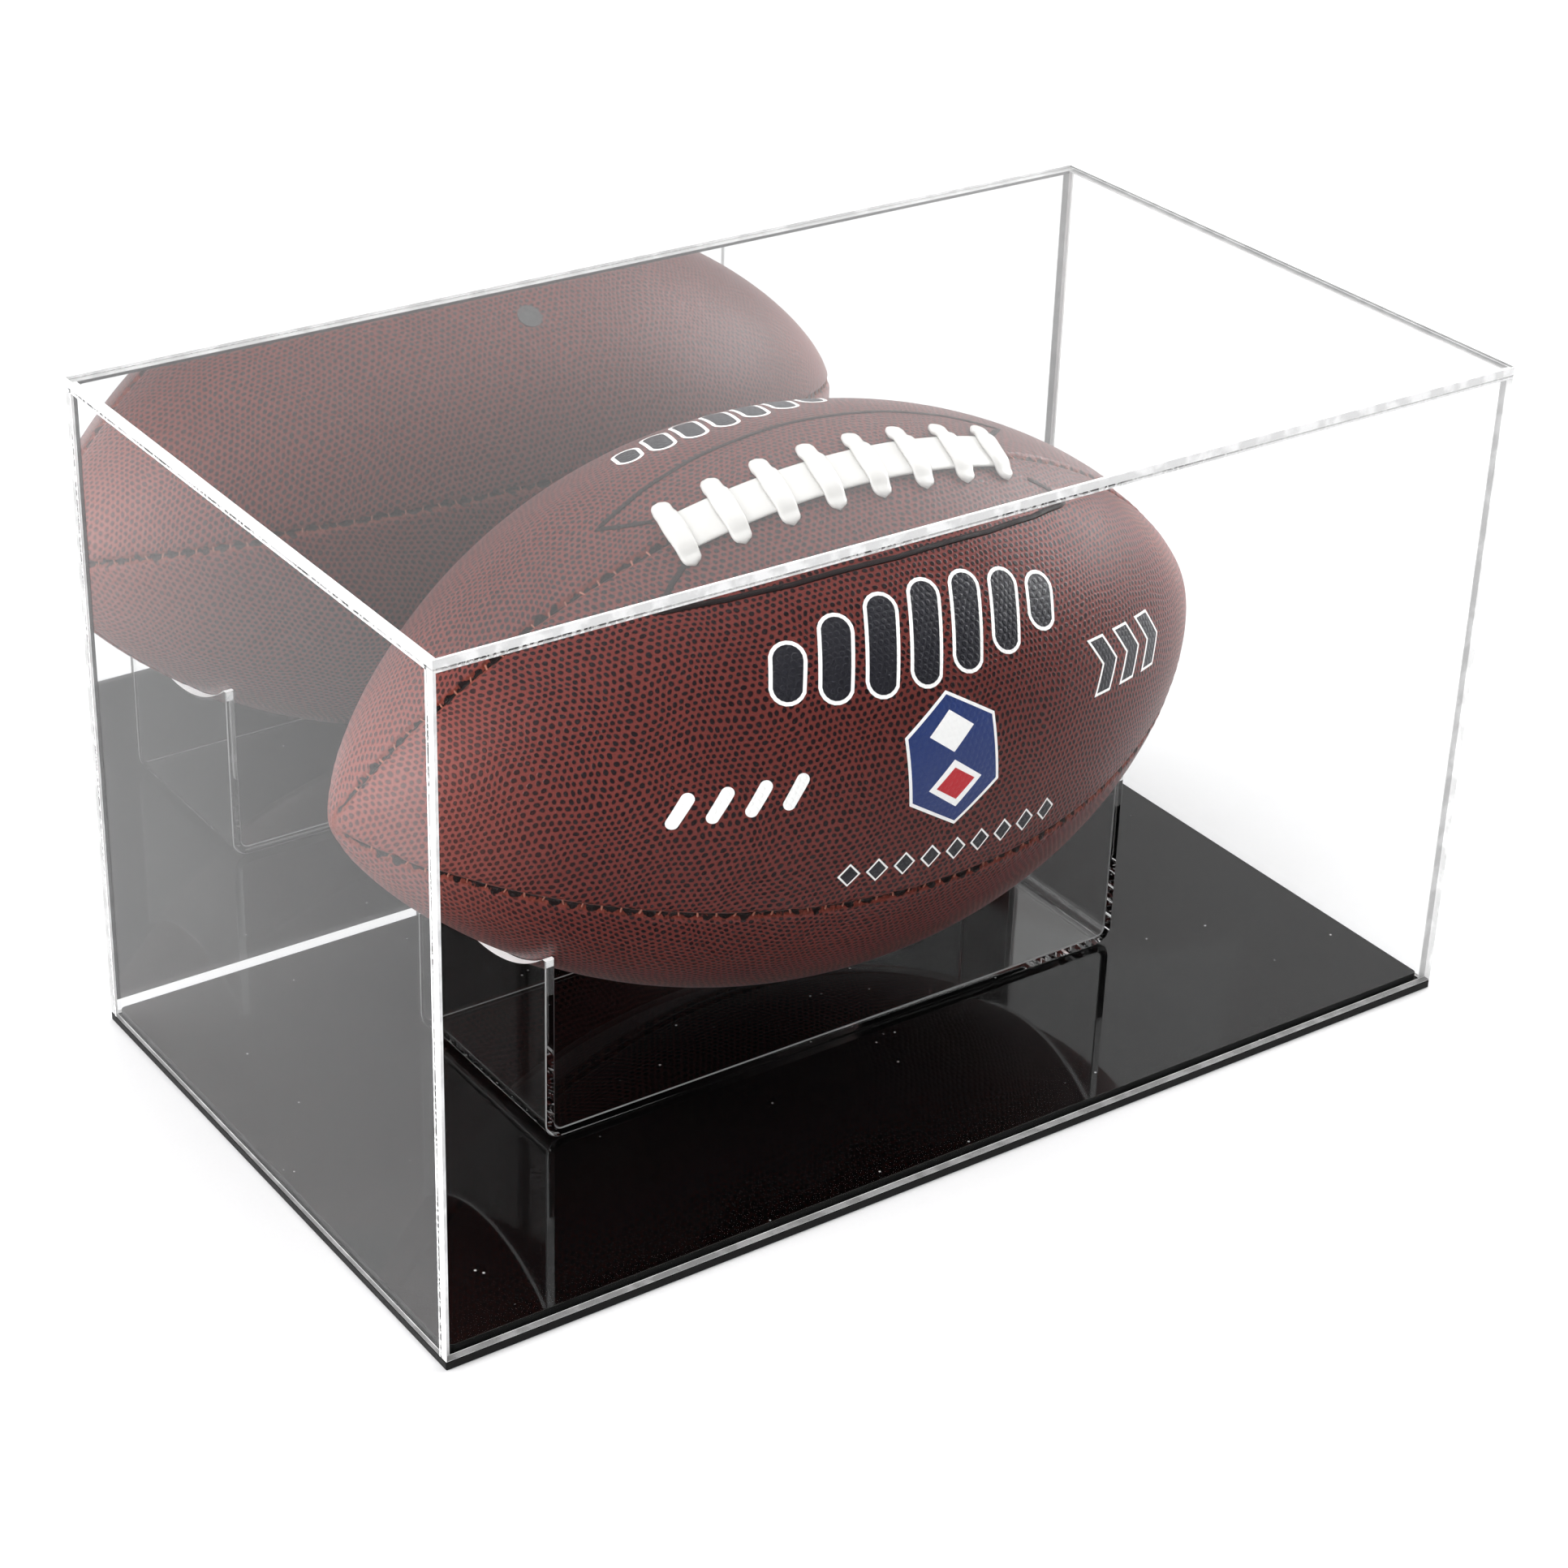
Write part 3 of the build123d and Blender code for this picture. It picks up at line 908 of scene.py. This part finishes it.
def leather_panel(node, start, material, seed):
    """One of the ball's four panels, closed, with its edges rolled down into the seams."""
    draws = random.Random(seed)
    pulls = [[draws.uniform(0.4, 1.4) for _ in range(83)] for _ in range(2)]
    shares = panel_shares()
    quarter = math.pi / 2
    form = bmesh.new()
    flat = form.loops.layers.uv.new("UVMap")
    seam = form.verts.layers.float.new("seam")
    hole = form.verts.layers.float.new("hole")
    places = {}

    def add(along, angle, depth, distance, across, near_seam=0.0, in_hole=0.0):
        vertex = form.verts.new(ball_point(along, angle, depth))
        vertex[seam] = near_seam
        vertex[hole] = in_hole
        places[vertex] = (distance, across)
        return vertex

    outer_rows, inner_rows = [], []
    for row in range(1, PANEL_ROWS):
        distance = meridian_length * (row / PANEL_ROWS - 0.5)
        along = along_at(distance)
        radius = radius_at(along)
        calm = min(1.0, radius / TIP_CALM)
        outer_row, inner_row = [], []
        for share in shares:
            angle = start + quarter * share
            across = (share - 0.5) * quarter * radius
            gaps = (share * quarter * radius, (1 - share) * quarter * radius)
            drop = sum(seam_drop(distance, gap, pull, calm) for gap, pull in zip(gaps, pulls))
            drop = min(drop, LEATHER * 0.9)
            # closeness to a seam drives the painted highlight along it
            closeness = math.exp(-((min(gaps) / SEAM_HIGHLIGHT_REACH) ** 2))
            # gape drives the painted shade in the openings between stitches
            gape = max(seam_gape(distance, gap, pull) for gap, pull in zip(gaps, pulls)) * calm
            outer_row.append(add(along, angle, drop, distance, across, closeness, gape))
            inner_row.append(add(along, angle, LEATHER, distance, across, closeness, gape))
        outer_rows.append(outer_row)
        inner_rows.append(inner_row)

    tips = []
    for along in (-1.0, 1.0):
        edge = along * meridian_length / 2
        tips.append([add(along, start, depth, edge, 0.0) for depth in (0.0, LEATHER)])

    skin_panel(form, outer_rows, inner_rows, tips)
    for face in form.faces:
        for loop in face.loops:
            loop[flat].uv = places[loop.vert]
    name = node.replace("football_", "sewn_")
    add_piece(name, form, [material], "football", [node], smooth=True)


def build_leather():
    material = leather()
    for index, node in enumerate(LEATHER_NODES):
        start = math.radians(BALL_ROLL + 90 * index)
        leather_panel(node, start, material, seed=11 + index)


# ---- sewing --------------------------------------------------------------------------------
def join_rings(form, rings):
    """Joins rings of points into a closed tube with flat ends."""
    sides = len(rings[0])
    for near, far in zip(rings, rings[1:]):
        for step in range(sides):
            following = (step + 1) % sides
            form.faces.new((near[step], near[following], far[following], far[step]))
    form.faces.new(list(reversed(rings[0])))
    form.faces.new(rings[-1])


def tube(form, points, radius, sides=6):
    """A closed tube through the points, in an open bmesh."""
    rings = []
    for index, point in enumerate(points):
        before = points[max(index - 1, 0)]
        after = points[min(index + 1, len(points) - 1)]
        way = (after - before).normalized()
        side = way.orthogonal().normalized()
        up = way.cross(side)
        turns = [2 * math.pi * step / sides for step in range(sides)]
        offsets = [(side * math.cos(turn) + up * math.sin(turn)) * radius for turn in turns]
        rings.append([form.verts.new(point + offset) for offset in offsets])
    join_rings(form, rings)


def build_stitches():
    """Short threads across every seam, except where the laces lie."""
    draws = random.Random(5)
    form = bmesh.new()
    lace_low, lace_high = box_round(LACE_NODES)
    reach = meridian_length / 2 - 10 * MM
    count = math.floor(reach / STITCH_PITCH)
    for index in range(4):
        seam_angle = math.radians(BALL_ROLL + 90 * index)
        for number in range(-count, count + 1):
            along = along_at(number * STITCH_PITCH)
            laced = index == 0 and lace_low.x - 2 * MM < ball_half * along < lace_high.x + 2 * MM
            if laced:
                continue
            radius = radius_at(along)
            lean = draws.uniform(-0.5, 0.5) * MM
            size = draws.uniform(0.8, 1.1)
            points = []
            for step in range(-2, 3):
                share = step / 2
                angle = seam_angle + share * STITCH_REACH / radius
                depth = (0.75 + 0.4 * share * share) * MM
                shifted = along_at(number * STITCH_PITCH + lean * share)
                points.append(ball_point(shifted, angle, depth))
            tube(form, points, STITCH_RADIUS * size)
    bmesh.ops.recalc_face_normals(form, faces=form.faces[:])
    material = thread("seam_thread", (0.4, 0.17, 0.12), (0.09, 0.02, 0.015))
    add_piece("seam_stitches", form, [material], "football", smooth=True)


# ---- laces ---------------------------------------------------------------------------------
def strap(form, places, widths, thicknesses, sides=16):
    """A flat rounded strap along places on the ball. Each place is (x, degrees, lift of its underside)."""
    centres = [on_ball(*place) for place in places]
    rings = []
    for index, place in enumerate(places):
        before = centres[max(index - 1, 0)]
        after = centres[min(index + 1, len(centres) - 1)]
        way = (after - before).normalized()
        up = outward(place[0] / ball_half, math.radians(place[1]))
        side = way.cross(up).normalized()
        over = side.cross(way)
        width, thickness = widths[index] / 2, thicknesses[index] / 2
        ring = []
        for step in range(sides):
            turn = 2 * math.pi * step / sides
            across = math.copysign(abs(math.cos(turn)) ** 0.7, math.cos(turn)) * width
            rise = math.copysign(abs(math.sin(turn)) ** 0.8, math.sin(turn)) * thickness
            ring.append(form.verts.new(centres[index] + side * across + over * (rise + thickness)))
        rings.append(ring)
    join_rings(form, rings)
    bmesh.ops.recalc_face_normals(form, faces=form.faces[:])


def rounded_end(share, run):
    """How full a strap is near its ends, as a quarter circle over the given share of its length."""
    nearest = min(share, 1 - share) / run
    if nearest >= 1:
        return 1.0
    return math.sqrt(max(1 - (1 - nearest) ** 2, 0.01))


def cross_lace(node, material, slant, twist):
    """One lace across the band: it rises over the band and tapers to a rounded tip each side."""
    low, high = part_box(node)
    middle = (low.x + high.x) / 2
    places, widths, thicknesses = [], [], []
    for step in range(LACE_STEPS + 1):
        share = step / LACE_STEPS
        swing = 2 * share - 1
        degrees = BALL_ROLL - LACE_REAR + (LACE_REAR + LACE_FRONT) * share
        rise = LACE_RISE / (1 + math.exp((abs(degrees - BALL_ROLL) - LACE_RISE_AT) / LACE_RISE_OVER))
        x = middle - slant * swing + twist * (swing * swing - 0.5)
        full = rounded_end(share, 0.09)
        waist = 1.14 - 0.26 * abs(swing) ** 1.5
        places.append((x, degrees, 0.02 * MM + rise))
        widths.append((high.x - low.x) * waist * full)
        thicknesses.append(LACE_THICKNESS * (0.6 + 0.4 * full))
    form = bmesh.new()
    strap(form, places, widths, thicknesses)
    add_piece(node.replace("lace_", "white_lace_"), form, [material], "football", [node], smooth=True)


def build_laces():
    material = lace_plastic()
    last = len(LACE_NODES) - 1
    for index, node in enumerate(LACE_NODES):
        twist = LACE_END_TWIST if index == last else LACE_TWIST
        cross_lace(node, material, LACE_SLANT * (0.6 + 0.8 * index / last), twist)
    low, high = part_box("lace_band")
    places, widths, thicknesses = [], [], []
    for step in range(BAND_STEPS + 1):
        share = step / BAND_STEPS
        x = low.x + (high.x - low.x) * share
        places.append((x, BALL_ROLL, 0.03 * MM))
        full = rounded_end(share, 0.03)
        widths.append(BAND_WIDTH * full)
        thicknesses.append(LACE_THICKNESS * (0.7 + 0.3 * full))
    form = bmesh.new()
    strap(form, places, widths, thicknesses, sides=24)
    add_piece("white_lace_band", form, [material], "football", ["lace_band"], smooth=True)


# ---- printed marks and stitched outline ----------------------------------------------------
def bar(centre, length, width, slant, border=0.0):
    """The outline of a round-ended bar leaning by slant radians."""
    radius = width / 2 + border
    reach = length / 2 - width / 2
    points = []
    for step in range(20):
        turn = math.pi * step / 9.5 if step < 10 else math.pi * (step - 1) / 9.5
        lift = reach if step < 10 else -reach
        u, v = radius * math.cos(turn), radius * math.sin(turn) + lift
        points.append((u * math.cos(slant) + v * math.sin(slant), v * math.cos(slant) - u * math.sin(slant)))
    return [(centre[0] + u, centre[1] + v) for u, v in points]


def polygon(centre, width, height, corners, border=0.0):
    """A regular outline with a corner at its top, stretched to a width and height."""
    turns = [math.pi / 2 + 2 * math.pi * corner / corners for corner in range(corners)]
    half_width, half_height = width / 2 + border, height / 2 + border
    return [(centre[0] + half_width * math.cos(t), centre[1] + half_height * math.sin(t)) for t in turns]


def chevron(left, width, height, border=0.0):
    """The two halves of an arrow head that points along the ball."""
    lean = height / 3
    slope = math.hypot(1, lean / (height / 2))
    near, far = left - border * slope, left + width + border * slope
    top = height / 2 + border
    shift = lean * (1 - top / (height / 2))
    upper = [(near + shift, top), (near + lean, 0.0), (far + lean, 0.0), (far + shift, top)]
    lower = [(far + shift, -top), (far + lean, 0.0), (near + lean, 0.0), (near + shift, -top)]
    return upper, lower


def print_shapes(name, outlines, place, material, layer=0):
    """Lays flat outlines on the ball as a thin film of ink. Their origin falls on place (x, degrees)."""
    form = bmesh.new()
    for outline in outlines:
        form.faces.new([form.verts.new((u, v, 0.0)) for u, v in outline])
    bmesh.ops.remove_doubles(form, verts=form.verts[:], dist=0.01 * MM)
    for axis, way in enumerate((Vector((1, 0, 0)), Vector((0, 1, 0)))):
        low = min(vertex.co[axis] for vertex in form.verts)
        high = max(vertex.co[axis] for vertex in form.verts)
        for step in range(math.ceil(low / PRINT_GRID), math.floor(high / PRINT_GRID) + 1):
            whole = form.verts[:] + form.edges[:] + form.faces[:]
            bmesh.ops.bisect_plane(form, geom=whole, plane_co=way * step * PRINT_GRID, plane_no=way)
    bmesh.ops.triangulate(form, faces=[face for face in form.faces if len(face.verts) > 4])
    raised = bmesh.ops.extrude_face_region(form, geom=form.faces[:])["geom"]
    tops = {item for item in raised if isinstance(item, bmesh.types.BMVert)}
    flat = form.loops.layers.uv.new("UVMap")
    places = {}
    panel_middle = BALL_ROLL + 90 * round((place[1] - BALL_ROLL - 45) / 90) + 45
    for vertex in form.verts:
        u, v = vertex.co.xy
        along = (place[0] + u) / ball_half
        radius = radius_at(along)
        degrees = place[1] - math.degrees(v / radius)
        lift = PRINT_LIFT * (1 + layer) + (PRINT_THICKNESS if vertex in tops else 0.0)
        places[vertex] = (distance_at(along), math.radians(degrees - panel_middle) * radius)
        vertex.co = on_ball(place[0] + u, degrees, lift)
    for face in form.faces:
        for loop in face.loops:
            loop[flat].uv = places[loop.vert]
    bmesh.ops.recalc_face_normals(form, faces=form.faces[:])
    add_piece(name, form, [material], "football")


def bar_fan(size, border):
    """Seven leaning bars, longest in the middle, each with room for its border."""
    shapes = []
    for number in range(-3, 4):
        length = (29 - 1.5 * number * number) * size
        shapes.append(bar((number * 14.2 * size, 0.0), length, 8.4 * size, math.radians(18), border))
    return shapes


def build_prints():
    """Plain bars, lozenges and arrow heads where the ball is printed."""
    white = ink("white_ink", (0.86, 0.86, 0.85))
    black = ink("black_ink", (0.008, 0.008, 0.012))
    navy = ink("navy_ink", (0.012, 0.03, 0.13))
    red = ink("red_ink", (0.42, 0.012, 0.02))
    for name, size, place in (("front_bars", MM, (-1 * MM, 54.0)), ("top_bars", 0.74 * MM, (-9 * MM, -17.0))):
        print_shapes(f"print_{name}_border", bar_fan(size, PRINT_BORDER), place, white)
        print_shapes(f"print_{name}", bar_fan(size, 0.0), place, black, layer=1)

    place = (0.0, 79.5)
    hexagon = (33 * MM, 37 * MM, 6)
    print_shapes("print_badge_border", [polygon((0, 0), *hexagon, PRINT_BORDER)], place, white)
    print_shapes("print_badge", [polygon((0, 0), *hexagon)], place, navy, layer=1)
    print_shapes("print_badge_upper", [polygon((0, 8.2 * MM), 15 * MM, 12 * MM, 4)], place, white, layer=2)
    print_shapes("print_badge_lower", [polygon((0, -7 * MM), 18 * MM, 14 * MM, 4)], place, white, layer=2)
    print_shapes("print_badge_heart", [polygon((0, -7 * MM), 13 * MM, 9.4 * MM, 4)], place, red, layer=3)

    centres = [(number * 10 * MM, 0.0) for number in (-1.5, -0.5, 0.5, 1.5)]
    dashes = [bar(centre, 11 * MM, 3.6 * MM, math.radians(35)) for centre in centres]
    print_shapes("print_left_dashes", dashes, (-63 * MM, 78.0), white)

    centres = [(number * 8.6 * MM, 0.0) for number in range(-4, 5)]
    lefts = [(number * 13 - 18) * MM for number in range(3)]
    for name, border, material, layer in (("border", FINE_BORDER, white, 0), ("core", 0.0, black, 1)):
        lozenges = [polygon(centre, 5.4 * MM, 6.4 * MM, 4, border) for centre in centres]
        print_shapes(f"print_lower_lozenges_{name}", lozenges, (2 * MM, 99.5), material, layer)
        arrows = [half for left in lefts for half in chevron(left, 6 * MM, 15 * MM, border)]
        print_shapes(f"print_right_arrows_{name}", arrows, (76 * MM, 72.0), material, layer)


def build_leaf():
    """The dark stitched line round the laces: a leaf shape on each side of the seam."""
    form = bmesh.new()
    for way in (-1, 1):
        places = []
        for (x, degrees), (next_x, next_degrees) in zip(LEAF_CORNERS, LEAF_CORNERS[1:]):
            steps = max(2, round(abs(next_x - x) / 2))
            for step in range(steps):
                share = step / steps
                here = degrees + (next_degrees - degrees) * share
                places.append(((x + (next_x - x) * share) * MM, BALL_ROLL + way * here, -LEAF_SINK))
        count = len(places)
        strap(form, places, [LEAF_WIDTH] * count, [LEAF_THICKNESS] * count, sides=8)
    material = thread("leaf_thread", (0.014, 0.008, 0.008), (0.005, 0.004, 0.004))
    add_piece("leaf_outline", form, [material], "football", smooth=True)


# ---- inner parts ---------------------------------------------------------------------------
def dress(node, material):
    """Gives a CAD node that keeps its shape a better material."""
    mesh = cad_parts[node].data
    if not mesh.materials:
        mesh.materials.append(material)
    for index in range(len(mesh.materials)):
        mesh.materials[index] = material


def build_inner_parts():
    lining = cloth()
    for side in ("front", "under", "rear", "top"):
        dress(f"football_lining_{side}", lining)
    dress("football_bladder", rubber("bladder_rubber", (0.012, 0.012, 0.013), (0.03, 0.03, 0.032)))
    dress("football_valve", rubber("valve_rubber", (0.01, 0.01, 0.01), (0.025, 0.025, 0.025)))
    dress("football_tongue", rubber("tongue_rubber", (0.05, 0.02, 0.015), (0.09, 0.035, 0.025)))


# ---- the whole scene -----------------------------------------------------------------------
bpy.context.scene.view_settings.view_transform = "Standard"
bpy.context.scene.cycles.max_bounces = 24
bpy.context.scene.cycles.transmission_bounces = 24
bpy.context.scene.cycles.glossy_bounces = 12
bpy.context.scene.cycles.transparent_max_bounces = 32
make_camera()
make_world()
make_floor()
for lamp_name, (lamp_place, lamp_power, lamp_size) in LAMPS.items():
    make_light(lamp_name, lamp_place, lamp_power, lamp_size)
build_base()
build_cover()
build_stand()
build_leather()
build_stitches()
build_laces()
build_prints()
build_leaf()
build_inner_parts()
